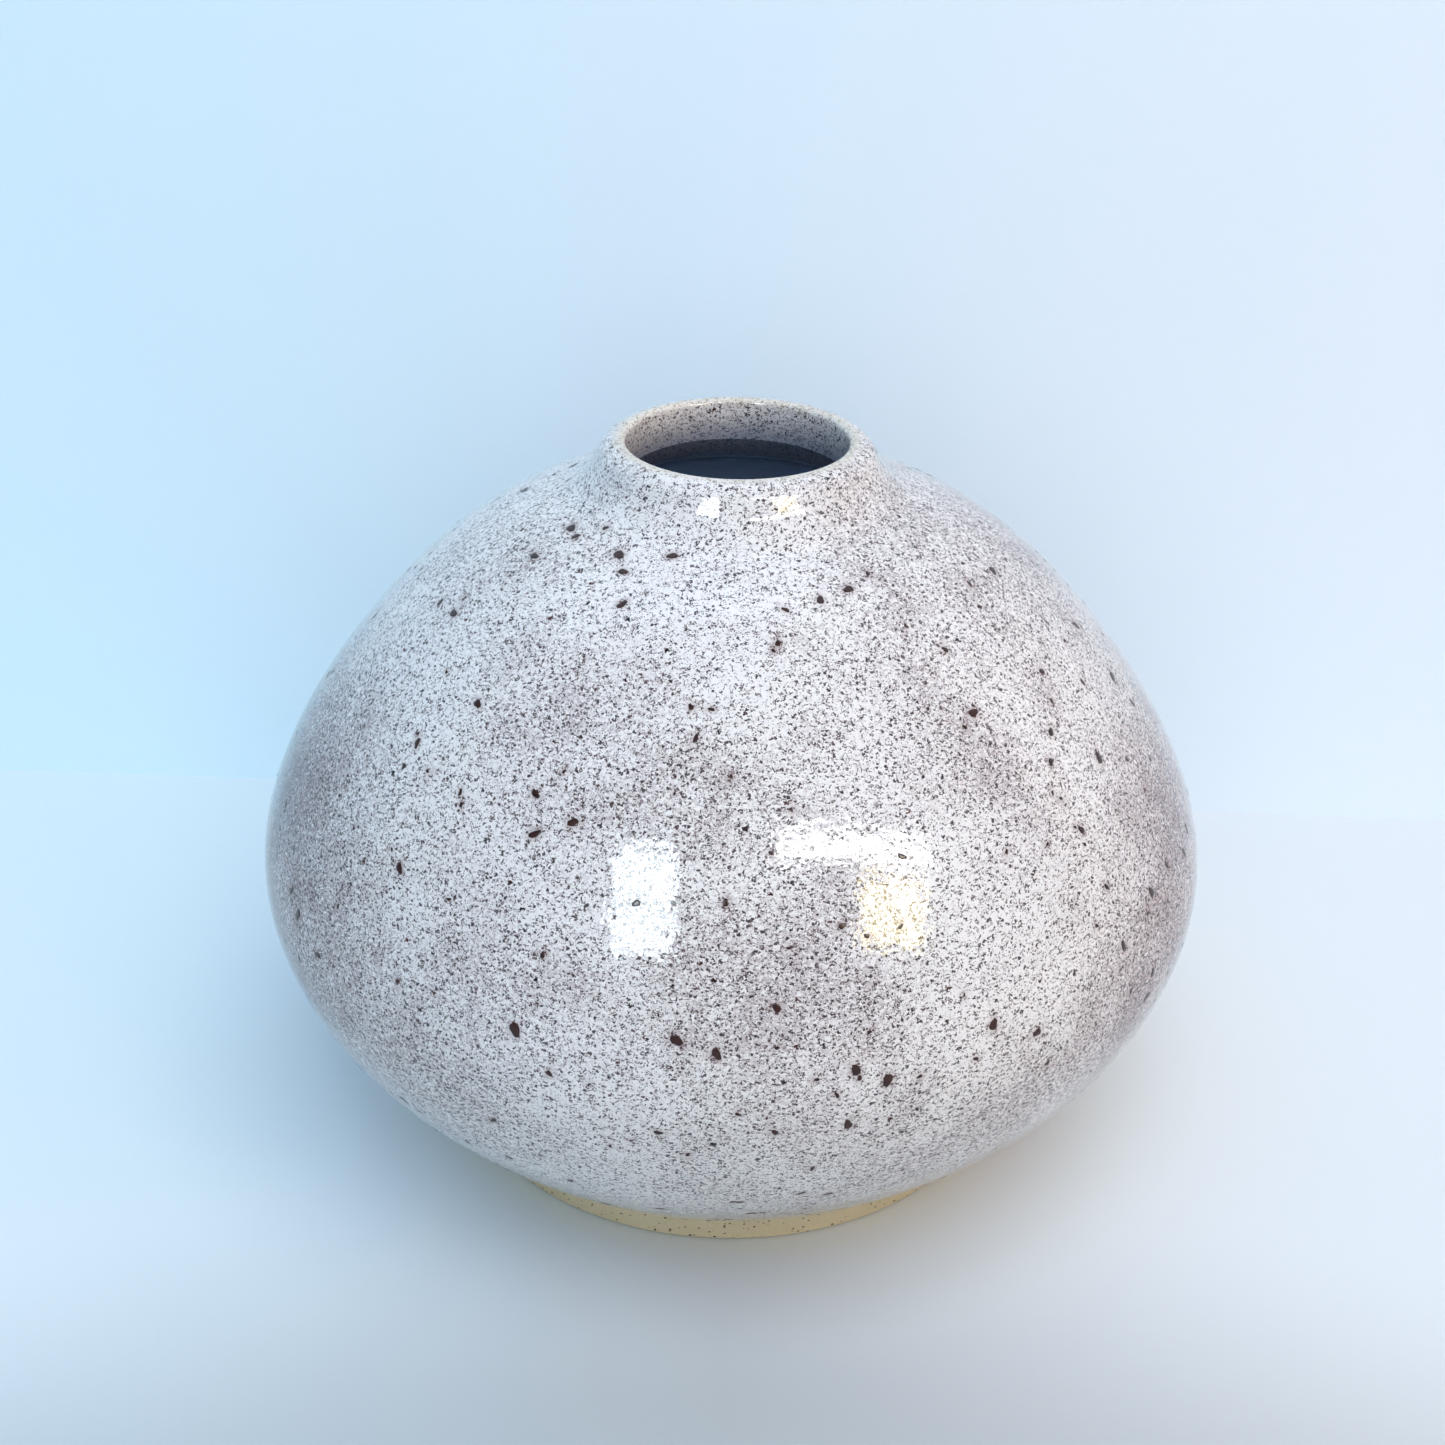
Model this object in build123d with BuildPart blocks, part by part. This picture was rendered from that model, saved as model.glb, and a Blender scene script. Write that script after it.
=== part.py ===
from build123d import *
from math import cos, radians, sin
import os

# A wheel-thrown stoneware bud vase: one piece of fired clay, coated outside and down
# its throat with a speckled glaze, and inside with a liner glaze. Every surface is turned about the
# vertical axis. Origin: centre of the foot, on the surface that the vase stands on.

# ---- driving dimensions, in millimetres (radius and height of the fired surfaces) ----
belly_radius = 65.0
belly_height = 42.3
lip_height = 100.8
throat_radius = 14.5

glaze_thickness = 0.4

# foot ring, left bare
foot_radius = 38.5
foot_height = 5.0
foot_flare = 1.9
foot_ring_width = 7.0
foot_recess = 2.8
foot_edge_round = 0.8
recess_corner_round = 1.5

# collar around the mouth: a rounded lip over a wall that leans in, then a soft fillet
lip_edge_round = 0.8
lip_round = 3.2
collar_fillet = 9.7
collar_lean = 21.0
shoulder_slope = 21.0

# inside
floor_height = 8.6
floor_flat_radius = 22.0
throat_bottom = 95.2
belly_wall = 4.6

# ---- the outside of the collar, as two arcs that share a tangent ----
lip_crest_radius = throat_radius + lip_edge_round
lip_centre = Vector(lip_crest_radius, lip_height - lip_round)
lip_edge_centre = Vector(lip_crest_radius, lip_height - lip_edge_round)
wall_normal = Vector(cos(radians(collar_lean)), sin(radians(collar_lean)))
fillet_centre = lip_centre + wall_normal * (lip_round + collar_fillet)
root_angle = 270.0 - shoulder_slope
root_direction = Vector(cos(radians(root_angle)), sin(radians(root_angle)))
collar_root = fillet_centre + root_direction * collar_fillet
up_the_shoulder = Vector(-cos(radians(shoulder_slope)), sin(radians(shoulder_slope)))

# ---- outer wall, from the glaze line above the foot to the root of the collar ----
glaze_line = Vector(foot_radius + foot_flare, foot_height)
outer_points = [
    glaze_line,
    Vector(50.4, 13.7),
    Vector(58.7, 23.4),
    Vector(belly_radius, belly_height),
    Vector(61.6, 55.3),
    Vector(50.8, 72.2),
    Vector(36.6, 86.3),
    collar_root,
]
outer_ends = [Vector(0.81, 0.59), up_the_shoulder]

# ---- inner wall, from the bottom of the throat down to the flat of the floor ----
inner_points = [
    Vector(throat_radius, throat_bottom),
    Vector(20.3, 90.3),
    Vector(34.2, 83.3),
    Vector(47.6, 69.4),
    Vector(belly_radius - belly_wall, belly_height),
    Vector(53.8, 24.4),
    Vector(44.6, 14.9),
    Vector(33.0, 9.8),
    Vector(floor_flat_radius, floor_height),
]
inner_ends = [Vector(0.0, -1.0), Vector(-1.0, 0.0)]

# Both ends of each wall curve keep the pace of its middle, so that it doesn't bulge there.
even_pace = (1.0, 1.0)


def shifted(points, ends, distance):
    """Move a curve's points sideways, to the left of its path."""
    guide = Spline(*points, tangents=ends, tangent_scalars=even_pace)
    moved = []
    for point in points:
        along = guide % guide.param_at_point(point)
        moved.append(point + Vector(-along.Y, along.X) * distance)
    return moved


# The clay lies one glaze thickness under both fired surfaces.
clay_outer_points = shifted(outer_points, outer_ends, glaze_thickness)
clay_inner_points = shifted(inner_points, inner_ends, glaze_thickness)


def draw_coat(points, inset):
    """Draw the outer wall, the collar, the lip and the throat, from the foot upwards."""
    Spline(*points, tangents=outer_ends, tangent_scalars=even_pace)
    CenterArc(fillet_centre, collar_fillet + inset, root_angle, collar_lean - root_angle + 180.0)
    CenterArc(lip_centre, lip_round - inset, collar_lean, 90.0 - collar_lean)
    CenterArc(lip_edge_centre, lip_edge_round - inset, 90.0, 90.0)
    Line((throat_radius + inset, lip_edge_centre.Y), (throat_radius + inset, throat_bottom))


def draw_liner(points):
    """Draw the inner wall and the floor, from the throat down to the axis."""
    Spline(*points, tangents=inner_ends, tangent_scalars=even_pace)
    Line(points[-1], (0.0, points[-1].Y))


os.makedirs("parts", exist_ok=True)

# ---- the thrown clay: foot ring, recess, wall, collar and the core of the lip ----
with BuildPart() as clay_body:
    with BuildSketch(Plane.XZ):
        with BuildLine():
            draw_coat(clay_outer_points, glaze_thickness)
            draw_liner(clay_inner_points)
            Polyline(
                (0.0, clay_inner_points[-1].Y),
                (0.0, foot_recess),
                (foot_radius - foot_ring_width, foot_recess),
                (foot_radius - foot_ring_width, 0.0),
                (foot_radius, 0.0),
                clay_outer_points[0],
            )
        make_face()
    revolve(axis=Axis.Z)
    foot_circles = clay_body.edges().filter_by(GeomType.CIRCLE).group_by(Axis.Z)
    fillet(foot_circles[0], foot_edge_round)
    recess_circles = clay_body.edges().filter_by(GeomType.CIRCLE)
    fillet(recess_circles.filter_by_position(Axis.Z, foot_recess, foot_recess), recess_corner_round)
clay_body.part.label = "clay_body"
export_step(clay_body.part, "parts/clay_body.step")

# ---- the outer glaze: a glassy skin from the glaze line, over the lip and down the throat ----
with BuildPart() as outer_glaze:
    with BuildSketch(Plane.XZ):
        with BuildLine():
            draw_coat(outer_points, 0.0)
            draw_coat(clay_outer_points, glaze_thickness)
            Line(glaze_line, clay_outer_points[0])
            Line(inner_points[0], clay_inner_points[0])
        make_face()
    revolve(axis=Axis.Z)
outer_glaze.part.label = "outer_glaze"
export_step(outer_glaze.part, "parts/outer_glaze.step")

# ---- the liner glaze: the same skin, poured over the inside below the throat ----
with BuildPart() as liner_glaze:
    with BuildSketch(Plane.XZ):
        with BuildLine():
            draw_liner(inner_points)
            draw_liner(clay_inner_points)
            Line(inner_points[0], clay_inner_points[0])
            Line((0.0, floor_height), (0.0, clay_inner_points[-1].Y))
        make_face()
    revolve(axis=Axis.Z)
liner_glaze.part.label = "liner_glaze"
export_step(liner_glaze.part, "parts/liner_glaze.step")
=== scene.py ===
# %% [markdown]
# A wheel-thrown stoneware bud vase in a speckled glaze, with a bare foot.
#
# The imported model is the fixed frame: it says how big the vase is and where each
# piece lies. Everything below is made in metres in that same frame, around the
# wheel axis, which is the Z axis.

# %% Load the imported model
import math

import bpy
import numpy as np
from mathutils import Matrix, Vector


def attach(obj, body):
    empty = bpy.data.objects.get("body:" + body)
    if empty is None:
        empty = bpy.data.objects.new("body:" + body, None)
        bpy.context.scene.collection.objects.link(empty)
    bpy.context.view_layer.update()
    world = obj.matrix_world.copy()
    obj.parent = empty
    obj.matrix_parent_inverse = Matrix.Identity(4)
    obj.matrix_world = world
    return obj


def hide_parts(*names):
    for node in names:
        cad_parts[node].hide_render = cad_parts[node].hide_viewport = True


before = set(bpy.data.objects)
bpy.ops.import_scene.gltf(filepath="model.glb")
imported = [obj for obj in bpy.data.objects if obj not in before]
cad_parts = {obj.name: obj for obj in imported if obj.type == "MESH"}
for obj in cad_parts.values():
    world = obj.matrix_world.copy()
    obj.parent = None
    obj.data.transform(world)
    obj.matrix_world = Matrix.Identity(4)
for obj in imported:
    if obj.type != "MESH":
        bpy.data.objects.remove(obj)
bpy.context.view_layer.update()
MM = 0.001

# %% [markdown]
# The camera stands a short arm's length away and looks down on the shoulder, so
# that the mouth shows as a flat oval and the foot only just shows under the belly.
# It is placed from its distance, its height and how far it is pitched down, and
# then it is rolled a little, as a camera held in the hand is.

# %% Camera
scene = bpy.context.scene
LENS = 57.3
CAMERA_DISTANCE = 283.0 * MM
CAMERA_HEIGHT = 204.3 * MM
PITCH_DOWN = math.radians(27.18)
YAW_LEFT = math.radians(0.29)
ROLL = math.radians(0.78)

camera_data = bpy.data.cameras.new("camera")
camera_data.lens = LENS
camera_data.sensor_width = 36.0
camera_data.clip_start = 0.01
camera = bpy.data.objects.new("camera", camera_data)
scene.collection.objects.link(camera)
turn = Matrix.Rotation(YAW_LEFT, 4, "Z") @ Matrix.Rotation(math.pi / 2 - PITCH_DOWN, 4, "X")
camera.matrix_world = (
    Matrix.Translation((0.0, -CAMERA_DISTANCE, CAMERA_HEIGHT)) @ turn @ Matrix.Rotation(ROLL, 4, "Z")
)
scene.camera = camera
print("camera at", [round(value / MM) for value in camera.location], "mm")

# %% [markdown]
# Node trees are built in the script, both for shapes and for materials. One small
# helper adds a node, sets its settings, and then fills or links its inputs, so
# that each line of a tree reads like a sentence. A second one does sums.

# %% Helpers for node trees
def add_node(tree, kind, inputs=None, **settings):
    """Add a node. An input, named or numbered, gets a value or a link from a socket."""
    made = tree.nodes.new(kind)
    for name, value in settings.items():
        setattr(made, name, value)
    for key, value in (inputs or {}).items():
        if isinstance(value, bpy.types.NodeSocket):
            tree.links.new(value, made.inputs[key])
        else:
            made.inputs[key].default_value = value
    return made


def math_node(tree, operation, *values):
    """One sum on one to three values, and the socket with its answer."""
    return add_node(tree, "ShaderNodeMath", dict(enumerate(values)), operation=operation).outputs[0]


def vector_node(tree, operation, *values):
    """The same for vectors."""
    return add_node(tree, "ShaderNodeVectorMath", dict(enumerate(values)), operation=operation).outputs[0]


print("helpers ready: add_node, math_node, vector_node")


# %% [markdown]
# Every surface of the vase is turned about one axis, so each is known by its
# profile: radius against height. The wall is a smooth curve through a few points
# that a potter would feel with a rib: the line above the foot, the widest part of
# the belly, the long shoulder and the root of the collar. A curve with an even
# bend, like a thin batten, passes through all of them. The sums are those of a
# clamped cubic spline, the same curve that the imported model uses.

# %% The profile of the wall, in millimetres
BELLY_RADIUS = 65.0
BELLY_HEIGHT = 42.3
LIP_HEIGHT = 100.8
THROAT_RADIUS = 14.5
THROAT_BOTTOM = 95.2
GLAZE = 0.4
LIP_EDGE_ROUND = 0.8
LIP_ROUND = 3.2
COLLAR_FILLET = 9.7
COLLAR_LEAN = math.radians(21.0)
SHOULDER_SLOPE = math.radians(21.0)


def batten(points, start, end, step):
    """Points, about a step apart, on the even curve through a few points. Ends have set directions."""
    points = np.array(points, float)
    chord = np.hypot(*np.diff(points, axis=0).T)
    rise = np.diff(points, axis=0) / chord[:, None]
    count = len(points)
    system = np.eye(count)
    answer = np.zeros((count, 2))
    answer[0] = np.array(start) / np.hypot(*start)
    answer[-1] = np.array(end) / np.hypot(*end)
    for i in range(1, count - 1):
        before, after = chord[i - 1], chord[i]
        system[i, i - 1:i + 2] = after, 2 * (before + after), before
        answer[i] = 3 * (after * rise[i - 1] + before * rise[i])
    slope = np.linalg.solve(system, answer)
    line = [points[:1]]
    for i in range(count - 1):
        t = np.linspace(0, 1, max(2, round(chord[i] / step)) + 1)[1:, None]
        line.append(
            (1 + 2 * t) * (1 - t) ** 2 * points[i] + t * (1 - t) ** 2 * chord[i] * slope[i]
            + t * t * (3 - 2 * t) * points[i + 1] + t * t * (t - 1) * chord[i] * slope[i + 1]
        )
    return np.vstack(line)


def arc(centre, radius, start, end, step):
    """Points along a round, about a step apart. Angles are in radians from the radius."""
    steps = max(3, round(abs(end - start) * radius / step))
    angle = np.linspace(start, end, steps + 1)
    return np.array(centre) + radius * np.stack([np.cos(angle), np.sin(angle)], 1)


def inset(line, distance):
    """The same line, moved to its left."""
    along = np.gradient(line, axis=0)
    along /= np.hypot(*along.T)[:, None]
    return line + distance * np.stack([-along[:, 1], along[:, 0]], 1)


CREST_RADIUS = THROAT_RADIUS + LIP_EDGE_ROUND
lip_centre = np.array([CREST_RADIUS, LIP_HEIGHT - LIP_ROUND])
lean = np.array([math.cos(COLLAR_LEAN), math.sin(COLLAR_LEAN)])
fillet_centre = lip_centre + lean * (LIP_ROUND + COLLAR_FILLET)
root_angle = 1.5 * math.pi - SHOULDER_SLOPE
collar_root = fillet_centre + COLLAR_FILLET * np.array([math.cos(root_angle), math.sin(root_angle)])
up_the_shoulder = (-math.cos(SHOULDER_SLOPE), math.sin(SHOULDER_SLOPE))

wall_points = [
    (40.4, 5.0),
    (50.4, 13.7),
    (58.7, 23.4),
    (BELLY_RADIUS, BELLY_HEIGHT),
    (61.6, 55.3),
    (50.8, 72.2),
    (36.6, 86.3),
    tuple(collar_root),
]


def coat_line(depth, step):
    """The outside, the collar, the lip and the throat, at a depth under the fired surface."""
    wall = inset(batten(wall_points, (0.81, 0.59), up_the_shoulder, step), depth)
    fillet = arc(fillet_centre, COLLAR_FILLET + depth, root_angle, COLLAR_LEAN + math.pi, min(step, 0.5))
    lip = arc(lip_centre, LIP_ROUND - depth, COLLAR_LEAN, math.pi / 2, min(step, 0.22))
    edge_centre = (CREST_RADIUS, LIP_HEIGHT - LIP_EDGE_ROUND)
    edge = arc(edge_centre, LIP_EDGE_ROUND - depth, math.pi / 2, math.pi, min(step, 0.16))
    throat_steps = max(2, round((edge[-1][1] - THROAT_BOTTOM) / min(step, 0.7)))
    throat = np.linspace(edge[-1], (edge[-1][0], THROAT_BOTTOM), throat_steps + 1)
    return np.vstack([wall, fillet[1:], lip[1:], edge[1:], throat[1:]])


inner_points = [
    (THROAT_RADIUS, THROAT_BOTTOM),
    (20.3, 90.3),
    (34.2, 83.3),
    (47.6, 69.4),
    (60.4, BELLY_HEIGHT),
    (53.8, 24.4),
    (44.6, 14.9),
    (33.0, 9.8),
    (22.0, 8.6),
]


def liner_line(depth, step):
    """The inner wall and the floor, at a depth under the fired surface."""
    wall = inset(batten(inner_points, (0, -1), (-1, 0), step), depth)
    floor = np.linspace(wall[-1], (0.0, wall[-1][1]), 12)
    return np.vstack([wall, floor[1:]])


print("points on the coat", len(coat_line(0, 0.95)), "and on the liner", len(liner_line(0, 1.6)))

# %% [markdown]
# A lathe in Geometry Nodes turns a profile into a pot. A flat grid has a column
# for each step round the wheel and a row for each point of the profile; every
# grid point looks up its row's radius and height, and is carried round by its
# column's angle. Merging the doubles closes the seam and the poles. Then the
# surface sinks a little where a pot isn't quite true: faint rings left by the
# fingers, and a slow sway. It only ever sinks, so the pot never outgrows its
# true size, and the side that is hidden against the clay stays where it is.

# %% A lathe made of nodes
def new_tree(name, sockets):
    """A Geometry Nodes tree with named inputs, and its input and output nodes."""
    tree = bpy.data.node_groups.new(name, "GeometryNodeTree")
    tree.interface.new_socket("Geometry", in_out="INPUT", socket_type="NodeSocketGeometry")
    for label, kind in sockets:
        tree.interface.new_socket(label, in_out="INPUT", socket_type="NodeSocket" + kind)
    tree.interface.new_socket("Geometry", in_out="OUTPUT", socket_type="NodeSocketGeometry")
    return tree, tree.nodes.new("NodeGroupInput").outputs, tree.nodes.new("NodeGroupOutput")


def finish_tree(tree, geometry, material, output):
    """End a tree in real, smooth faces that have their material."""
    real = add_node(tree, "GeometryNodeRealizeInstances", {0: geometry})
    smooth = add_node(tree, "GeometryNodeSetShadeSmooth", {0: real.outputs[0]})
    painted = add_node(tree, "GeometryNodeSetMaterial", {0: smooth.outputs[0], "Material": material})
    tree.links.new(painted.outputs[0], output.inputs[0])


def sample(tree, geometry, field, index, kind):
    """Look a field up at one point of a geometry."""
    made = add_node(tree, "GeometryNodeSampleIndex", data_type=kind, domain="POINT")
    tree.links.new(geometry, made.inputs["Geometry"])
    tree.links.new(field, made.inputs["Value"])
    tree.links.new(index, made.inputs["Index"])
    return made.outputs[0]


def noise(tree, place, size, **extra):
    """Soft noise whose lumps have about this size, from 0 to 1."""
    made = add_node(tree, "ShaderNodeTexNoise", {"Vector": place, "Detail": 1.0})
    if isinstance(size, bpy.types.NodeSocket):
        tree.links.new(math_node(tree, "DIVIDE", 1.0, size), made.inputs["Scale"])
    else:
        made.inputs["Scale"].default_value = 1.0 / size
    for name, value in extra.items():
        made.inputs[name].default_value = value
    return made.outputs["Fac"]


def lathe_tree():
    tree, given, output = new_tree("lathe", [
        ("Segments", "Int"), ("Ring Depth", "Float"), ("Ring Spacing", "Float"),
        ("Sway Depth", "Float"), ("Sway Size", "Float"), ("Material", "Material"),
    ])
    profile = given["Geometry"]
    size = add_node(tree, "GeometryNodeAttributeDomainSize", {0: profile}, component="MESH")
    rows = size.outputs["Point Count"]
    columns = math_node(tree, "ADD", given["Segments"], 1)
    grid = add_node(tree, "GeometryNodeMeshGrid", {
        "Size X": 1.0, "Size Y": 1.0, "Vertices X": columns, "Vertices Y": rows,
    })
    place = add_node(tree, "GeometryNodeInputPosition").outputs[0]
    across = add_node(tree, "ShaderNodeSeparateXYZ", {0: place})
    angle = math_node(tree, "MULTIPLY", math_node(tree, "ADD", across.outputs["X"], 0.5), 2 * math.pi)
    last_row = math_node(tree, "SUBTRACT", rows, 1)
    row = math_node(tree, "MULTIPLY", math_node(tree, "ADD", across.outputs["Y"], 0.5), last_row)
    row = math_node(tree, "ROUND", row)
    point = add_node(tree, "ShaderNodeSeparateXYZ", {0: sample(tree, profile, place, row, "FLOAT_VECTOR")})
    turned = add_node(tree, "ShaderNodeCombineXYZ", {
        "X": math_node(tree, "MULTIPLY", point.outputs["X"], math_node(tree, "COSINE", angle)),
        "Y": math_node(tree, "MULTIPLY", point.outputs["X"], math_node(tree, "SINE", angle)),
        "Z": point.outputs["Z"],
    })
    shown = add_node(tree, "GeometryNodeInputNamedAttribute", {"Name": "shown"}, data_type="FLOAT")
    shown_here = sample(tree, profile, shown.outputs[0], row, "FLOAT")
    kept = add_node(tree, "GeometryNodeStoreNamedAttribute", {
        0: grid.outputs["Mesh"], "Name": "shown", "Value": shown_here,
    }, data_type="FLOAT", domain="POINT")
    pot = add_node(tree, "GeometryNodeSetPosition", {0: kept.outputs[0], "Position": turned.outputs[0]})
    closed = add_node(tree, "GeometryNodeMergeByDistance", {0: pot.outputs[0], "Distance": 1e-7})

    long_way = add_node(tree, "ShaderNodeCombineXYZ", {"X": 0.06, "Y": 0.06, "Z": 1.0}).outputs[0]
    ring_place = vector_node(tree, "MULTIPLY", place, long_way)
    rings = math_node(tree, "MULTIPLY", noise(tree, ring_place, given["Ring Spacing"]), given["Ring Depth"])
    sway = math_node(tree, "MULTIPLY", noise(tree, place, given["Sway Size"]), given["Sway Depth"])
    mask = add_node(tree, "GeometryNodeInputNamedAttribute", {"Name": "shown"}, data_type="FLOAT")
    mask = mask.outputs[0]
    sink = math_node(tree, "MULTIPLY", math_node(tree, "ADD", rings, sway), mask)
    normal = add_node(tree, "GeometryNodeInputNormal").outputs[0]
    move = add_node(tree, "ShaderNodeVectorMath", {0: normal}, operation="SCALE")
    tree.links.new(math_node(tree, "MULTIPLY", sink, -1.0), move.inputs["Scale"])
    relief = add_node(tree, "GeometryNodeSetPosition", {0: closed.outputs[0], "Offset": move.outputs[0]})
    finish_tree(tree, relief.outputs[0], given["Material"], output)
    return tree


lathe = lathe_tree()
print("lathe tree has", len(lathe.nodes), "nodes")

# %% [markdown]
# A tree runs as a modifier. Its inputs are set by their socket identifiers, then
# the evaluated object is turned into a plain mesh and the modifier is gone, so
# that what is left is an ordinary piece. Edges that turn sharply are marked, so
# that the light breaks there and nowhere else.

# %% Run a tree and keep its mesh
def run_tree(base, tree, values, name, sharp_degrees=40):
    """Run the tree on a mesh with these inputs, and return the result as a plain object."""
    worker = bpy.data.objects.new("worker", base)
    scene.collection.objects.link(worker)
    modifier = worker.modifiers.new("nodes", "NODES")
    modifier.node_group = tree
    for item in tree.interface.items_tree:
        if item.in_out == "INPUT" and item.name in values:
            modifier[item.identifier] = values[item.name]
    seen = worker.evaluated_get(bpy.context.evaluated_depsgraph_get())
    mesh = bpy.data.meshes.new_from_object(seen)
    worker.modifiers.clear()
    bpy.data.objects.remove(worker)
    mesh.name = name
    mesh.set_sharp_from_angle(angle=math.radians(sharp_degrees))
    piece = bpy.data.objects.new(name, mesh)
    scene.collection.objects.link(piece)
    mesh.calc_loop_triangles()
    print(name, "has", len(mesh.loop_triangles), "triangles")
    return piece


def profile_mesh(line, shown):
    """A chain of points, radius along X and height along Z, that says which of them show."""
    mesh = bpy.data.meshes.new("profile")
    points = [(radius * MM, 0.0, height * MM) for radius, height in line]
    mesh.from_pydata(points, [(i, i + 1) for i in range(len(points) - 1)], [])
    mesh.attributes.new("shown", "FLOAT", "POINT").data.foreach_set("value", np.array(shown, np.float32))
    return mesh


# %% [markdown]
# Glaze is coloured glass. On this pot it is an off-white, faintly lilac coat over
# a clay that holds iron, and the iron bleeds through as thousands of fine brown
# strokes and darker points. Where the coat is thin, on the rim and at its lower
# edge, the clay warms it. All of this is worked out from the place on the pot, in
# millimetres, so the pattern doesn't slide or stretch. These first few helpers mix
# the colours.

# %% Colours
def from_hex(code):
    """A display colour, such as E4DFE2, as linear light."""
    parts = [int(code[i:i + 2], 16) / 255 for i in (0, 2, 4)]
    return (*[p / 12.92 if p < 0.04045 else ((p + 0.055) / 1.055) ** 2.4 for p in parts], 1.0)


def new_material(name):
    """A material with a Principled shader, and its tree, shader and place in millimetres."""
    made = bpy.data.materials.new(name)
    made.use_nodes = True
    tree = made.node_tree
    shader = tree.nodes["Principled BSDF"]
    coords = add_node(tree, "ShaderNodeTexCoord")
    to_mm = add_node(tree, "ShaderNodeMapping", {"Vector": coords.outputs["Object"]})
    to_mm.inputs["Scale"].default_value = (1 / MM, 1 / MM, 1 / MM)
    return made, tree, shader, to_mm.outputs[0]


def step_up(tree, value, low, high):
    """0 below low, 1 above high, and smooth between."""
    made = add_node(tree, "ShaderNodeMapRange", {
        "Value": value, "From Min": low, "From Max": high,
    }, interpolation_type="SMOOTHSTEP")
    return made.outputs[0]


def blend_colour(tree, amount, one, two):
    """A mix of two colours: all of the second where the amount is 1."""
    made = add_node(tree, "ShaderNodeMix", data_type="RGBA")
    for key, value in ((0, amount), (6, one), (7, two)):
        if isinstance(value, bpy.types.NodeSocket):
            tree.links.new(value, made.inputs[key])
        else:
            made.inputs[key].default_value = value
    return made.outputs[2]


# %% [markdown]
# Three sizes of fleck come from Voronoi patterns whose cells are bent by noise,
# which draws them into short strokes. Only the lucky cells hold a fleck, and a
# slow noise makes them crowd in some places. They also crowd on the two sides of
# the belly, more on the left than on the right: partly the denser flecks of the
# glaze there, and partly painted shade that darkens the flanks. Between them
# lies a faint brown mist.

# %% The glaze
def flecks(tree, place, crowd, scale, rarity, reach, soft):
    """Iron points from a Voronoi pattern: only the luckiest cells hold one, and crowding adds more."""
    cells = add_node(tree, "ShaderNodeTexVoronoi", {"Vector": place, "Scale": scale})
    luck = add_node(tree, "ShaderNodeSeparateColor", {0: cells.outputs["Color"]})
    chance = math_node(tree, "SUBTRACT", luck.outputs[0], rarity)
    chance = math_node(tree, "ADD", chance, math_node(tree, "MULTIPLY", crowd, 0.30))
    size = math_node(tree, "MINIMUM", math_node(tree, "MULTIPLY", chance, 1.6), reach)
    inside = math_node(tree, "SUBTRACT", size, cells.outputs["Distance"])
    return step_up(tree, inside, 0.0, soft), luck.outputs[1]


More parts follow.
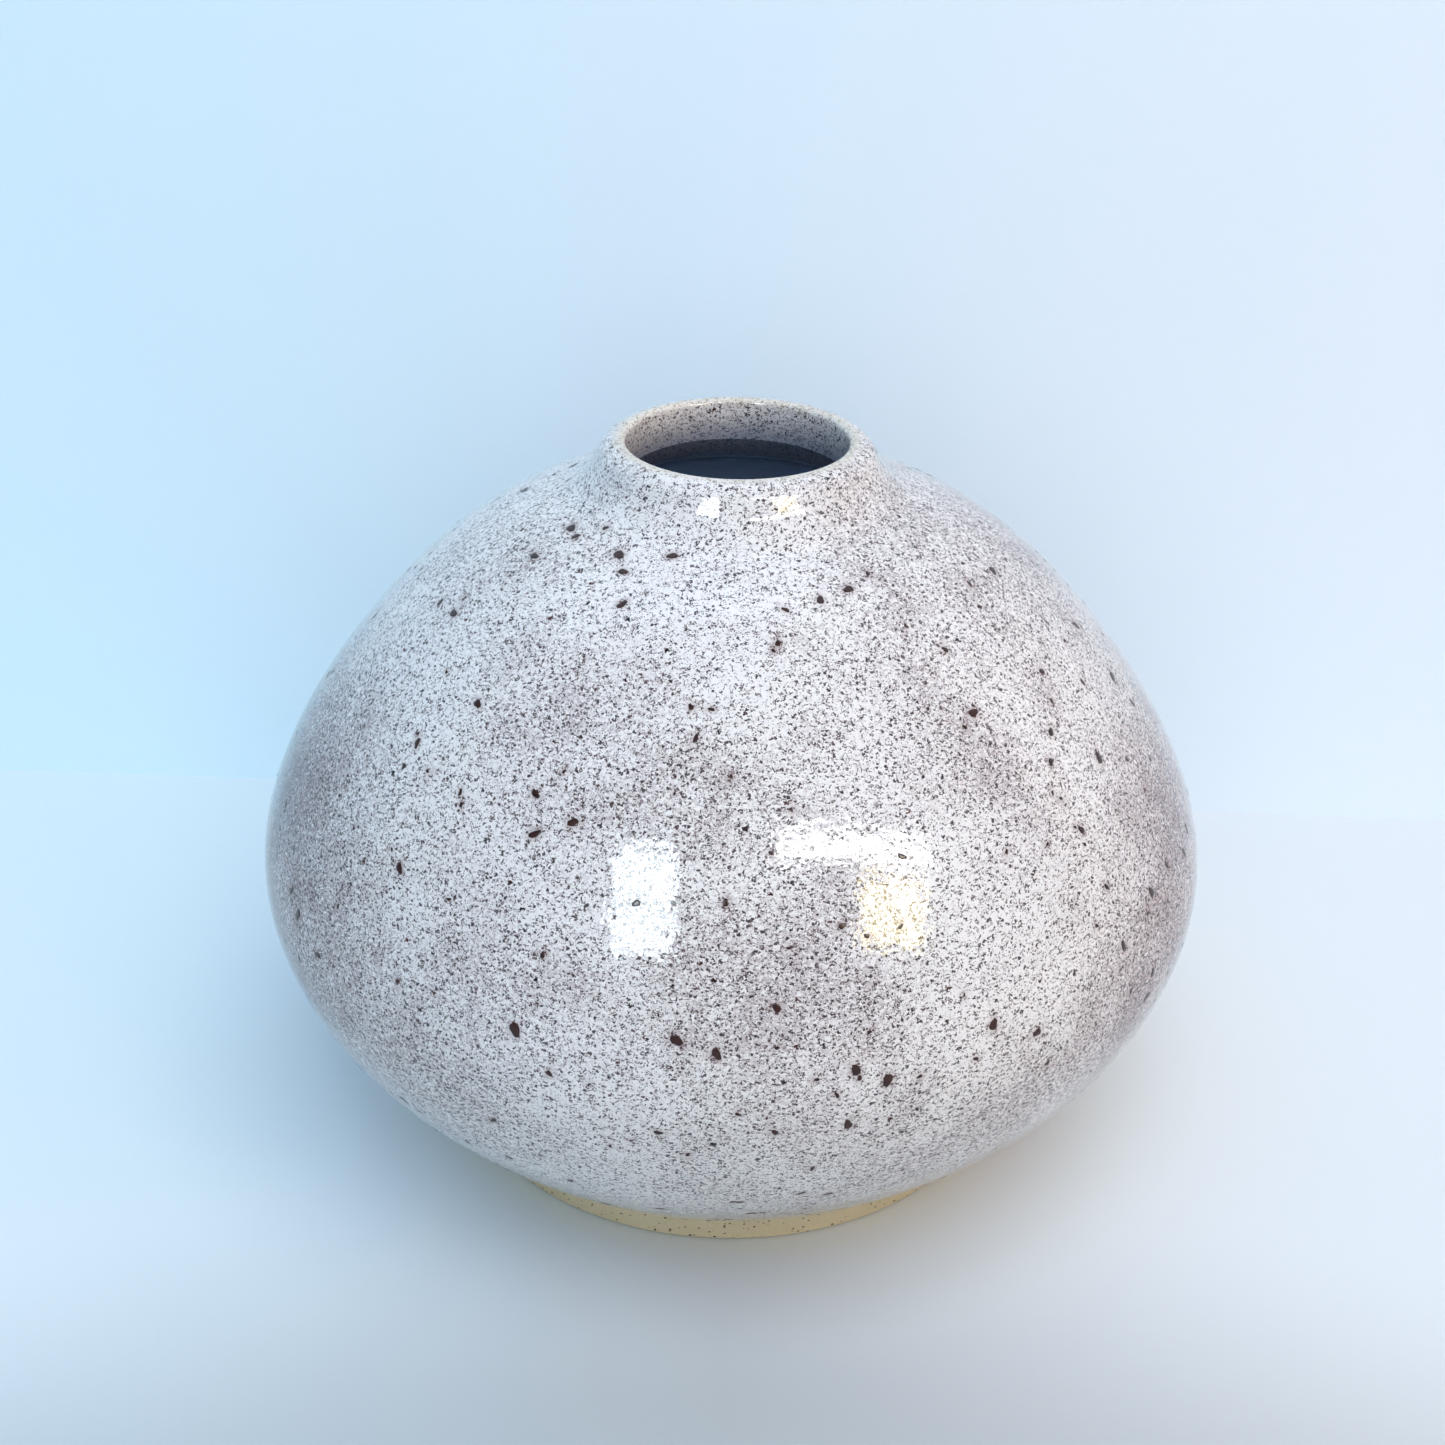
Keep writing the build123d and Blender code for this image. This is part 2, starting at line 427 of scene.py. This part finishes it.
def glaze_material(name, thin_edges):
    made, tree, shader, place = new_material(name)
    drawn = vector_node(tree, "MULTIPLY", place, (1.0, 1.0, 1.35))
    bend = add_node(tree, "ShaderNodeTexNoise", {"Vector": place, "Scale": 2.8, "Detail": 1.0})
    bend = vector_node(tree, "SUBTRACT", bend.outputs["Color"], (0.5, 0.5, 0.5))
    bend = add_node(tree, "ShaderNodeVectorMath", {0: bend, "Scale": 1.1}, operation="SCALE").outputs[0]
    bent = vector_node(tree, "ADD", drawn, bend)

    broad = noise(tree, place, 34.0, Detail=2.0)
    crowd = math_node(tree, "MULTIPLY_ADD", noise(tree, place, 7.0), 0.45, broad)
    crowd = step_up(tree, crowd, 0.52, 1.00)
    parts = add_node(tree, "ShaderNodeSeparateXYZ", {0: place})
    # Extra flecks on the left and right flanks at mid height: partly real fleck density, partly painted
    # shade on the sides.
    left = step_up(tree, parts.outputs["X"], -36.0, -62.0)
    right = step_up(tree, parts.outputs["X"], 34.0, 60.0)
    level = math_node(tree, "ABSOLUTE", math_node(tree, "SUBTRACT", parts.outputs["Z"], 50.0))
    level = step_up(tree, level, 34.0, 12.0)
    sides = math_node(tree, "MULTIPLY_ADD", left, 1.25, math_node(tree, "MULTIPLY", right, 0.70))
    crowd = math_node(tree, "MULTIPLY_ADD", sides, level, crowd)

    white = blend_colour(tree, noise(tree, place, 30.0), from_hex("F5F0EB"), from_hex("EBE7E5"))
    milk = noise(tree, bent, 0.55, Detail=3.0, Roughness=0.7)
    milk = step_up(tree, math_node(tree, "MULTIPLY_ADD", crowd, 0.10, milk), 0.47, 0.66)
    mist = math_node(tree, "MULTIPLY_ADD", crowd, 0.34, 0.16)
    ground = blend_colour(tree, math_node(tree, "MULTIPLY", milk, mist), white, from_hex("8A7070"))

    soft, shade = flecks(tree, bent, crowd, 2.7, 0.31, 0.42, 0.06)
    tone = blend_colour(tree, shade, from_hex("3A2628"), from_hex("7C6264"))
    colour = blend_colour(tree, math_node(tree, "MULTIPLY", soft, 0.86), ground, tone)
    dark, shade = flecks(tree, bent, crowd, 1.75, 0.35, 0.40, 0.04)
    tone = blend_colour(tree, shade, from_hex("1A1316"), from_hex("47302E"))
    colour = blend_colour(tree, math_node(tree, "MULTIPLY", dark, 0.93), colour, tone)
    dots, shade = flecks(tree, bent, math_node(tree, "MULTIPLY", crowd, 0.20), 0.62, 0.84, 0.24, 0.03)
    tone = blend_colour(tree, shade, from_hex("17120F"), from_hex("55302A"))
    colour = blend_colour(tree, dots, colour, tone)

    spot = add_node(tree, "ShaderNodeAttribute", attribute_name="halo").outputs["Fac"]
    halo = math_node(tree, "MULTIPLY", math_node(tree, "POWER", spot, 2.0), 0.5)
    colour = blend_colour(tree, halo, colour, from_hex("6B4038"))

    if thin_edges:
        flat = add_node(tree, "ShaderNodeCombineXYZ", {"X": parts.outputs["X"], "Y": parts.outputs["Y"]})
        radius = add_node(tree, "ShaderNodeVectorMath", {0: flat.outputs[0]}, operation="LENGTH")
        radius = radius.outputs["Value"]
        off_crest = math_node(tree, "SUBTRACT", radius, CREST_RADIUS)
        below = math_node(tree, "SUBTRACT", parts.outputs["Z"], LIP_HEIGHT)
        squares = math_node(tree, "MULTIPLY", below, below)
        squares = math_node(tree, "MULTIPLY_ADD", off_crest, off_crest, squares)
        away = math_node(tree, "SQRT", squares)
        ragged = math_node(tree, "MULTIPLY_ADD", noise(tree, place, 1.6), 1.2, away)
        rim = math_node(tree, "SUBTRACT", 1.0, step_up(tree, ragged, 0.7, 2.1))
        colour = blend_colour(tree, math_node(tree, "MULTIPLY", rim, 0.55), colour, from_hex("D9CDB4"))
        drift = math_node(tree, "MULTIPLY_ADD", noise(tree, place, 3.0), 0.8, parts.outputs["Z"])
        band = math_node(tree, "SUBTRACT", 1.0, step_up(tree, drift, 6.5, 11.5))
        colour = blend_colour(tree, math_node(tree, "MULTIPLY", band, 0.45), colour, from_hex("B9B1BC"))
        line = math_node(tree, "SUBTRACT", 1.0, step_up(tree, drift, 5.35, 5.95))
        colour = blend_colour(tree, math_node(tree, "MULTIPLY", line, 0.8), colour, from_hex("A97C55"))
        # Painted shade: inside the throat the coat turns dark slate blue going down from the lip, where
        # little light reaches.
        inside = step_up(tree, radius, 15.4, 14.9)
        throat_painted_shade = math_node(tree, "MULTIPLY", inside, step_up(tree, drift, 100.6, 95.4))
        colour = blend_colour(tree, math_node(tree, "MULTIPLY", throat_painted_shade, 0.80), colour, from_hex("566274"))
    else:
        # Painted shade: the liner turns dark slate blue deeper inside the pot, standing in for the shade in
        # the hollow, partly as a colour choice.
        depth = step_up(tree, parts.outputs["Z"], 94.5, 80.0)
        slate_painted_shade = blend_colour(tree, depth, from_hex("3C4A5E"), from_hex("D6E8FF"))
        colour = blend_colour(tree, 0.90, colour, slate_painted_shade)
    tree.links.new(colour, shader.inputs["Base Color"])

    peel = math_node(tree, "MULTIPLY", noise(tree, place, 0.45), 0.30)
    peel = math_node(tree, "ADD", noise(tree, place, 1.3), peel)
    peel = math_node(tree, "MULTIPLY_ADD", dots, 0.6, peel)
    bump = add_node(tree, "ShaderNodeBump", {"Height": peel, "Distance": 0.034 * MM, "Strength": 1.0})
    tree.links.new(bump.outputs[0], shader.inputs["Normal"])
    rough = math_node(tree, "MULTIPLY_ADD", dots, 0.12, 0.06)
    tree.links.new(rough, shader.inputs["Roughness"])
    shader.inputs["IOR"].default_value = 1.52
    return made


speckled_glaze = glaze_material("speckled_glaze", True)
liner_finish = glaze_material("liner_glaze", False)
print("glaze tree has", len(speckled_glaze.node_tree.nodes), "nodes")


# %% [markdown]
# Bare stoneware is matt and sandy. Its buff ground is mottled by the fire, fine
# grains of quartz and dark grog stand in it, and small pits show where the
# trimming tool pulled a grain out.

# %% The clay
def clay_material():
    made, tree, shader, place = new_material("bare_clay")
    ground = blend_colour(tree, noise(tree, place, 9.0, Detail=3.0), from_hex("EBDDBC"), from_hex("D8C69E"))
    grain = noise(tree, place, 0.35, Detail=3.0)
    ground = blend_colour(tree, math_node(tree, "MULTIPLY", grain, 0.45), ground, from_hex("B9A27A"))
    cells = add_node(tree, "ShaderNodeTexVoronoi", {"Vector": place, "Scale": 1.5})
    luck = add_node(tree, "ShaderNodeSeparateColor", {0: cells.outputs["Color"]})
    reach = math_node(tree, "MULTIPLY_ADD", luck.outputs[0], 0.50, -0.16)
    specks = step_up(tree, math_node(tree, "SUBTRACT", reach, cells.outputs["Distance"]), 0.0, 0.04)
    tone = blend_colour(tree, luck.outputs[1], from_hex("2E2620"), from_hex("6B4A2E"))
    colour = blend_colour(tree, specks, ground, tone)
    glints = add_node(tree, "ShaderNodeTexVoronoi", {"Vector": place, "Scale": 1.0})
    chance = add_node(tree, "ShaderNodeSeparateColor", {0: glints.outputs["Color"]})
    size = math_node(tree, "MULTIPLY_ADD", chance.outputs[0], 0.30, -0.16)
    quartz = step_up(tree, math_node(tree, "SUBTRACT", size, glints.outputs["Distance"]), 0.0, 0.03)
    colour = blend_colour(tree, quartz, colour, from_hex("F3EEDD"))
    tree.links.new(colour, shader.inputs["Base Color"])
    tree.links.new(math_node(tree, "MULTIPLY_ADD", quartz, -0.6, 0.8), shader.inputs["Roughness"])
    height = math_node(tree, "MULTIPLY_ADD", specks, -0.5, grain)
    bump = add_node(tree, "ShaderNodeBump", {"Height": height, "Distance": 0.08 * MM, "Strength": 1.0})
    tree.links.new(bump.outputs[0], shader.inputs["Normal"])
    return made


bare_clay = clay_material()
print("clay tree has", len(bare_clay.node_tree.nodes), "nodes")

# %% [markdown]
# The outer coat is one closed skin: its shown side runs from the line above the
# foot, over the belly, the shoulder and the lip, and down the throat, and its
# hidden side lies on the clay. Fired glaze never ends in a square edge. It draws
# up into a soft roll, so the lower edge is a quarter of a small oval.

# %% The outer coat
ROLL_LENGTH = 0.5
shown_line = coat_line(0.0, 0.95)
hidden_line = coat_line(GLAZE, 5.0)
foot_way = np.array([0.81, 0.59]) / math.hypot(0.81, 0.59)
out_way = np.array([foot_way[1], -foot_way[0]])
turns = np.linspace(0, math.pi / 2, 7)[:, None]
roll_centre = hidden_line[0] + ROLL_LENGTH * foot_way
roll = roll_centre - ROLL_LENGTH * np.cos(turns) * foot_way + GLAZE * np.sin(turns) * out_way
past_roll = (shown_line - roll[-1]) @ foot_way > 0.3
past_roll[20:] = True
shown_line = np.vstack([roll, shown_line[past_roll]])
loop = np.vstack([shown_line, hidden_line[::-1]])
coat_mesh = profile_mesh(loop, [1.0] * (len(shown_line) - 1) + [0.0] * (len(hidden_line) + 1))
COAT_SEGMENTS = 400
outer_coat = run_tree(coat_mesh, lathe, {
    "Segments": COAT_SEGMENTS, "Ring Depth": 0.010 * MM, "Ring Spacing": 3.5 * MM,
    "Sway Depth": 0.10 * MM, "Sway Size": 32.0 * MM, "Material": speckled_glaze,
}, "glaze_coat")

# %% [markdown]
# The larger iron spots are grains of ironstone that melted on the surface: flat,
# crooked scabs a millimetre or so across, a hair proud of the glaze. A tree
# scatters them over the shown side, so that they follow the form and no two are
# turned alike. The first scatter is the lone spots. The second is the clusters,
# where a few seeds each gather some neighbours.

# %% Iron spots
def scab_mesh():
    """One crooked flat grain, a millimetre across, with a few dozen faces."""
    mesh = bpy.data.meshes.new("scab")
    rings, sides = 3, 9
    points = [(0.0, 0.0, 0.5)]
    for ring in range(1, rings + 1):
        tilt = ring / rings * math.pi * 0.62
        for side in range(sides):
            turn = side / sides * 2 * math.pi
            crooked = 1 + 0.20 * math.sin(2 * turn + 0.6) + 0.13 * math.sin(3 * turn)
            reach = 0.5 * math.sin(min(tilt, math.pi / 2)) * crooked
            points.append((reach * math.cos(turn), reach * math.sin(turn), 0.5 * math.cos(tilt)))
    points.append((0.0, 0.0, -0.5))
    faces = [(0, 1 + side, 1 + (side + 1) % sides) for side in range(sides)]
    for ring in range(rings - 1):
        low = 1 + ring * sides
        for side in range(sides):
            after = (side + 1) % sides
            faces.append((low + side, low + sides + side, low + sides + after, low + after))
    low = 1 + (rings - 1) * sides
    faces += [(low + (side + 1) % sides, low + side, len(points) - 1) for side in range(sides)]
    mesh.from_pydata([(x * MM, y * MM, z * MM) for x, y, z in points], [], faces)
    return mesh


def scatter_tree():
    tree, given, output = new_tree("iron scatter", [
        ("Grain", "Object"), ("Per Square Metre", "Float"), ("Clusters Per Square Metre", "Float"),
        ("Smallest", "Float"), ("Largest", "Float"), ("Thickness", "Float"),
        ("Seed", "Int"), ("Material", "Material"),
    ])
    shown = add_node(tree, "GeometryNodeInputNamedAttribute", {"Name": "shown"}, data_type="FLOAT")
    shown = shown.outputs[0]
    place = add_node(tree, "GeometryNodeInputPosition").outputs[0]
    height = add_node(tree, "ShaderNodeSeparateXYZ", {0: place}).outputs["Z"]
    high = math_node(tree, "GREATER_THAN", height, 7.0 * MM)
    low = math_node(tree, "LESS_THAN", height, 99.0 * MM)
    here = math_node(tree, "MULTIPLY", shown, math_node(tree, "MULTIPLY", high, low))
    here = math_node(tree, "GREATER_THAN", here, 0.9)
    crowd = step_up(tree, noise(tree, place, 20.0 * MM, Detail=2.0), 0.42, 0.62)
    scattered = []
    for label, crowding in (("Per Square Metre", False), ("Clusters Per Square Metre", True)):
        density = given[label]
        if crowding:
            bunch = step_up(tree, noise(tree, place, 5.0 * MM), 0.66, 0.76)
            density = math_node(tree, "MULTIPLY", density, bunch)
        density = math_node(tree, "MULTIPLY", density, math_node(tree, "MULTIPLY_ADD", crowd, 0.8, 0.4))
        points = add_node(tree, "GeometryNodeDistributePointsOnFaces", {
            "Mesh": given["Geometry"], "Selection": here, "Density": density, "Seed": given["Seed"],
        }, distribute_method="RANDOM")
        scattered.append(points)
    grown = []
    for number, points in enumerate(scattered):
        luck = add_node(tree, "FunctionNodeRandomValue", {"Seed": number + 3}, data_type="FLOAT").outputs[1]
        luck = math_node(tree, "POWER", luck, 1.8)
        spread = math_node(tree, "SUBTRACT", given["Largest"], given["Smallest"])
        across = math_node(tree, "MULTIPLY_ADD", luck, spread, given["Smallest"])
        across = math_node(tree, "DIVIDE", across, MM)
        squash = add_node(tree, "FunctionNodeRandomValue", {2: 0.55, 3: 1.0, "Seed": number + 9},
                          data_type="FLOAT")
        thick = math_node(tree, "DIVIDE", given["Thickness"], MM)
        size = add_node(tree, "ShaderNodeCombineXYZ", {
            "X": across, "Y": math_node(tree, "MULTIPLY", across, squash.outputs[1]), "Z": thick,
        })
        spin = add_node(tree, "FunctionNodeRandomValue", {2: 0.0, 3: 2 * math.pi, "Seed": number + 21},
                        data_type="FLOAT").outputs[1]
        turned = add_node(tree, "FunctionNodeAxisAngleToRotation", {"Axis": (0.0, 0.0, 1.0), "Angle": spin})
        facing = add_node(tree, "FunctionNodeRotateRotation", {
            "Rotation": points.outputs["Rotation"], "Rotate By": turned.outputs[0],
        }, rotation_space="LOCAL")
        grain = add_node(tree, "GeometryNodeObjectInfo", {"Object": given["Grain"]})
        placed = add_node(tree, "GeometryNodeInstanceOnPoints", {
            "Points": points.outputs["Points"], "Instance": grain.outputs["Geometry"],
            "Rotation": facing.outputs[0], "Scale": size.outputs[0],
        })
        grown.append(placed.outputs[0])
    joined = add_node(tree, "GeometryNodeJoinGeometry")
    for geometry in grown:
        tree.links.new(geometry, joined.inputs[0])
    finish_tree(tree, joined.outputs[0], given["Material"], output)
    return tree


def iron_material():
    made, tree, shader, place = new_material("iron_spots")
    tone = blend_colour(tree, noise(tree, place, 1.1, Detail=2.0), from_hex("100C0C"), from_hex("4A2822"))
    tree.links.new(tone, shader.inputs["Base Color"])
    shader.inputs["Roughness"].default_value = 0.22
    return made


scab = bpy.data.objects.new("scab", scab_mesh())
scatter = scatter_tree()
iron = iron_material()
iron_spots = run_tree(outer_coat.data, scatter, {
    "Grain": scab, "Per Square Metre": 14000.0, "Clusters Per Square Metre": 60000.0,
    "Smallest": 0.55 * MM, "Largest": 1.7 * MM, "Thickness": 0.07 * MM, "Seed": 11, "Material": iron,
}, "iron_spots", 80)
bpy.data.objects.remove(scab)

# %% [markdown]
# Iron bleeds a little from each spot into the glass round it. A small tree
# measures how far each point of the coat lies from the nearest spot, and keeps
# the answer as an attribute that the glaze reads.

# %% Halos
def halo_tree():
    tree, given, output = new_tree("halo", [
        ("Spots", "Object"), ("Reach", "Float"), ("Material", "Material"),
    ])
    spots = add_node(tree, "GeometryNodeObjectInfo", {"Object": given["Spots"]})
    near = add_node(tree, "GeometryNodeProximity", {0: spots.outputs["Geometry"]}, target_element="FACES")
    part = math_node(tree, "DIVIDE", near.outputs["Distance"], given["Reach"])
    part = add_node(tree, "ShaderNodeMath", {0: 1.0, 1: part}, operation="SUBTRACT", use_clamp=True)
    part = part.outputs[0]
    kept = add_node(tree, "GeometryNodeStoreNamedAttribute", {
        0: given["Geometry"], "Name": "halo", "Value": part,
    }, data_type="FLOAT", domain="POINT")
    finish_tree(tree, kept.outputs[0], given["Material"], output)
    return tree


bare_coat = outer_coat
outer_coat = run_tree(bare_coat.data, halo_tree(), {
    "Spots": iron_spots, "Reach": 1.1 * MM, "Material": speckled_glaze,
}, "speckled_coat")
bpy.data.objects.remove(bare_coat)

# %% [markdown]
# The liner is the same glaze, poured in and swilled round, and it covers the
# inside from the bottom of the throat down. Its line starts on the axis, climbs the
# hidden side to the throat, and comes down the shown side to the axis again.

# %% The liner
# Its glaze carries painted shade: it darkens to slate blue deeper inside.
liner_shown = liner_line(0.0, 1.7)
liner_hidden = liner_line(GLAZE, 5.0)
liner_loop = np.vstack([liner_hidden[::-1], liner_shown])
liner_mesh = profile_mesh(liner_loop, [0.0] * (len(liner_hidden) + 1) + [1.0] * (len(liner_shown) - 1))
liner = run_tree(liner_mesh, lathe, {
    "Segments": 240, "Ring Depth": 0.010 * MM, "Ring Spacing": 3.5 * MM,
    "Sway Depth": 0.10 * MM, "Sway Size": 32.0 * MM, "Material": liner_finish,
}, "glaze_liner")

# %% [markdown]
# The clay shows only at the foot. Its line starts on the axis under the recess,
# rounds the foot ring, climbs the bare band, and then runs hidden under the coat
# to the lip and back down inside under the liner.

# %% The clay body
FOOT_RADIUS = 38.5
RING_WIDTH = 7.0
RECESS = 2.8
EDGE_ROUND = 0.8
RECESS_ROUND = 1.5
ring_inside = FOOT_RADIUS - RING_WIDTH
recess_edge = ring_inside - RECESS_ROUND
underside = np.linspace((0.0, RECESS), (recess_edge, RECESS), 50)
hollow = arc((recess_edge, RECESS - RECESS_ROUND), RECESS_ROUND, math.pi / 2, 0.0, 0.3)
inside_round = arc((ring_inside + EDGE_ROUND, EDGE_ROUND), EDGE_ROUND, math.pi, 1.5 * math.pi, 0.2)
outside_round = arc((FOOT_RADIUS - EDGE_ROUND, EDGE_ROUND), EDGE_ROUND, 1.5 * math.pi, 2 * math.pi, 0.2)
standing = np.linspace(inside_round[-1], outside_round[0], 12)[1:-1]
under_coat = coat_line(GLAZE, 2.0)
band = np.linspace(outside_round[-1], under_coat[0], 14)[1:-1]
bare = np.vstack([underside, hollow[1:], inside_round, standing, outside_round, band])
under_liner = liner_line(GLAZE, 3.0)
clay_loop = np.vstack([bare, under_coat, under_liner[1:]])
clay_shown = [1.0] * len(bare) + [0.0] * (len(clay_loop) - len(bare))
clay = run_tree(profile_mesh(clay_loop, clay_shown), lathe, {
    "Segments": 300, "Ring Depth": 0.05 * MM, "Ring Spacing": 0.9 * MM,
    "Sway Depth": 0.05 * MM, "Sway Size": 12.0 * MM, "Material": bare_clay,
}, "thrown_clay")


# %% [markdown]
# A piece is right side out if its volume comes out positive. Any that isn't is
# flipped, so this also guards against a line drawn the wrong way round.

# %% Faces outwards
def face_out(piece):
    mesh = piece.data
    mesh.calc_loop_triangles()
    corner = np.empty(len(mesh.vertices) * 3)
    mesh.vertices.foreach_get("co", corner)
    corner = corner.reshape(-1, 3)
    index = np.empty(len(mesh.loop_triangles) * 3, int)
    mesh.loop_triangles.foreach_get("vertices", index)
    a, b, c = corner[index.reshape(-1, 3)].transpose(1, 0, 2)
    volume = np.einsum("ij,ij->i", a, np.cross(b, c)).sum() / 6
    if volume < 0:
        mesh.flip_normals()
    print(piece.name, "holds", round(abs(volume) / MM ** 3), "cubic mm", "(flipped)" if volume < 0 else "")


for piece in (outer_coat, iron_spots, liner, clay):
    face_out(piece)

# %% [markdown]
# The pot stands on pale paper that turns up behind it. The sheet is staging, not
# part of the vase. Its tones hold painted light and shade: bluer on the left, and
# on the floor darker towards the camera. The upright sheet shows only from the
# front, so that the vase can be looked at from behind as well.

# %% Paper
def paper_material(name, one_sided):
    made, tree, shader, place = new_material(name)
    parts = add_node(tree, "ShaderNodeSeparateXYZ", {0: place})
    # Painted light: the paper is bluer on the left, as if lit by cool light from that side.
    across = step_up(tree, parts.outputs["X"], -150.0, 150.0)
    if one_sided:
        tone = blend_colour(tree, across, (0.74, 0.92, 1.0, 1.0), (0.84, 0.91, 0.97, 1.0))
    else:
        # Painted shade: the floor's front tone is darker and stands in for shade towards the camera, most
        # in the middle in front of the pot.
        back = blend_colour(tree, across, (0.76, 0.85, 0.87, 1.0), (0.78, 0.81, 0.82, 1.0))
        front = blend_colour(tree, across, (0.44, 0.52, 0.56, 1.0), (0.53, 0.52, 0.50, 1.0))
        beside = math_node(tree, "ABSOLUTE", parts.outputs["X"])
        away = math_node(tree, "MULTIPLY_ADD", beside, 0.35, parts.outputs["Y"])
        tone = blend_colour(tree, step_up(tree, away, -80.0, -5.0), front, back)
    tree.links.new(tone, shader.inputs["Base Color"])
    shader.inputs["Roughness"].default_value = 0.85
    if one_sided:
        back = add_node(tree, "ShaderNodeNewGeometry").outputs["Backfacing"]
        clear = add_node(tree, "ShaderNodeBsdfTransparent").outputs[0]
        mixed = add_node(tree, "ShaderNodeMixShader", {0: back, 1: shader.outputs[0], 2: clear})
        tree.links.new(mixed.outputs[0], tree.nodes["Material Output"].inputs["Surface"])
    return made


def sheet(name, corners, material):
    mesh = bpy.data.meshes.new(name)
    mesh.from_pydata(corners, [], [(0, 1, 2, 3)])
    mesh.materials.append(material)
    made = bpy.data.objects.new(name, mesh)
    scene.collection.objects.link(made)
    return made


WALL_GAP = 86.0 * MM
WALL_TURN = math.radians(-2.2)
REACH = 1.6
wall_way = Vector((math.cos(WALL_TURN), math.sin(WALL_TURN), 0.0))
foot_of_wall = Vector((0.0, WALL_GAP, 0.0))
left_end, right_end = foot_of_wall - wall_way * REACH, foot_of_wall + wall_way * REACH
up = Vector((0.0, 0.0, 1.1))
square = [(-REACH, -REACH, 0), (REACH, -REACH, 0), (REACH, REACH, 0), (-REACH, REACH, 0)]
floor = sheet("paper_floor", square, paper_material("paper_floor", False))
wall = sheet("paper_wall", [left_end, right_end, right_end + up, left_end + up],
             paper_material("paper_wall", True))
print("staged", floor.name, "and", wall.name)

# %% [markdown]
# Two windows behind the camera draw the bright patches on the belly and again,
# small, on the collar: a cool one on the left, and on the right a wide pane over a
# narrow warm one. They only show in reflections. The light that models the form
# comes from big soft panels, cool from the left and neutral from the right, and
# from a pale blue room.

# %% Light
def way_to(azimuth, elevation):
    """The direction from the belly. Azimuth 0 is the camera's side, and 90 is the right."""
    a, e = math.radians(azimuth), math.radians(elevation)
    return Vector((math.sin(a) * math.cos(e), -math.cos(a) * math.cos(e), math.sin(e)))


def area_light(name, way, level, distance, width, height, power, colour, mirrored):
    """A flat light that faces the belly. Some show only in reflections, the rest never do."""
    light = bpy.data.lights.new(name, "AREA")
    light.shape = "RECTANGLE"
    light.size, light.size_y = width, height
    light.energy = power
    light.color = colour
    made = bpy.data.objects.new(name, light)
    scene.collection.objects.link(made)
    facing = Matrix((level, way.cross(level), way)).transposed().to_4x4()
    made.matrix_world = Matrix.Translation(Vector((0.0, 0.0, 0.06)) + way * distance) @ facing
    made.visible_diffuse = not mirrored
    made.visible_glossy = mirrored


def window(name, left, right, distance, height, power, colour):
    """A pane that is mirrored in the glaze, given by the middles of its two upright sides."""
    one, two = way_to(*left), way_to(*right)
    way = (one + two).normalized()
    across = two - one
    level = (across - way * across.dot(way)).normalized()
    area_light(name, way, level, distance, across.length * distance, height, power, colour, True)


def panel(name, azimuth, elevation, power, colour):
    """A soft square panel that lights the form and isn't mirrored."""
    way = way_to(azimuth, elevation)
    level = way_to(azimuth + 90, 0)
    area_light(name, way, level, 1.2, 0.9, 0.9, power, colour, False)


window("window_left", (-30, 30.0), (-14.5, 32.6), 1.4, 0.50, 8.0, (0.78, 0.92, 1.0))
window("window_right_high", (12, 43.0), (57.5, 31.0), 1.4, 0.105, 5.6, (0.97, 1.0, 1.0))
window("window_right_low", (33, 28.5), (48.5, 23.0), 1.4, 0.34, 4.4, (1.0, 0.86, 0.46))
panel("soft_top", 22, 60, 7.5, (0.95, 1.0, 0.96))
panel("soft_front", 0, 22, 4.1, (0.92, 0.98, 1.0))
panel("soft_left", -22, 60, 3.4, (0.15, 0.42, 1.0))
panel("soft_right", 60, 35, 2.8, (1.0, 0.42, 0.15))
world = bpy.data.worlds.new("room")
world.use_nodes = True
room = world.node_tree.nodes["Background"]
room.inputs["Color"].default_value = from_hex("C6DEF2")
room.inputs["Strength"].default_value = 0.26
scene.world = world
scene.view_settings.view_transform = "Standard"

# %% [markdown]
# Last, each piece rides on the one body of the imported model and stands in for its
# node, whose imported mesh is hidden.

# %% Tie the pieces to the frame and finish
for piece, node, finish in (
    (outer_coat, "outer_glaze", "speckled_glaze"),
    (iron_spots, "outer_glaze", "speckled_glaze"),
    (liner, "liner_glaze", "liner_glaze"),
    (clay, "clay_body", "bare_clay"),
):
    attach(piece, "root")
    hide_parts(node)
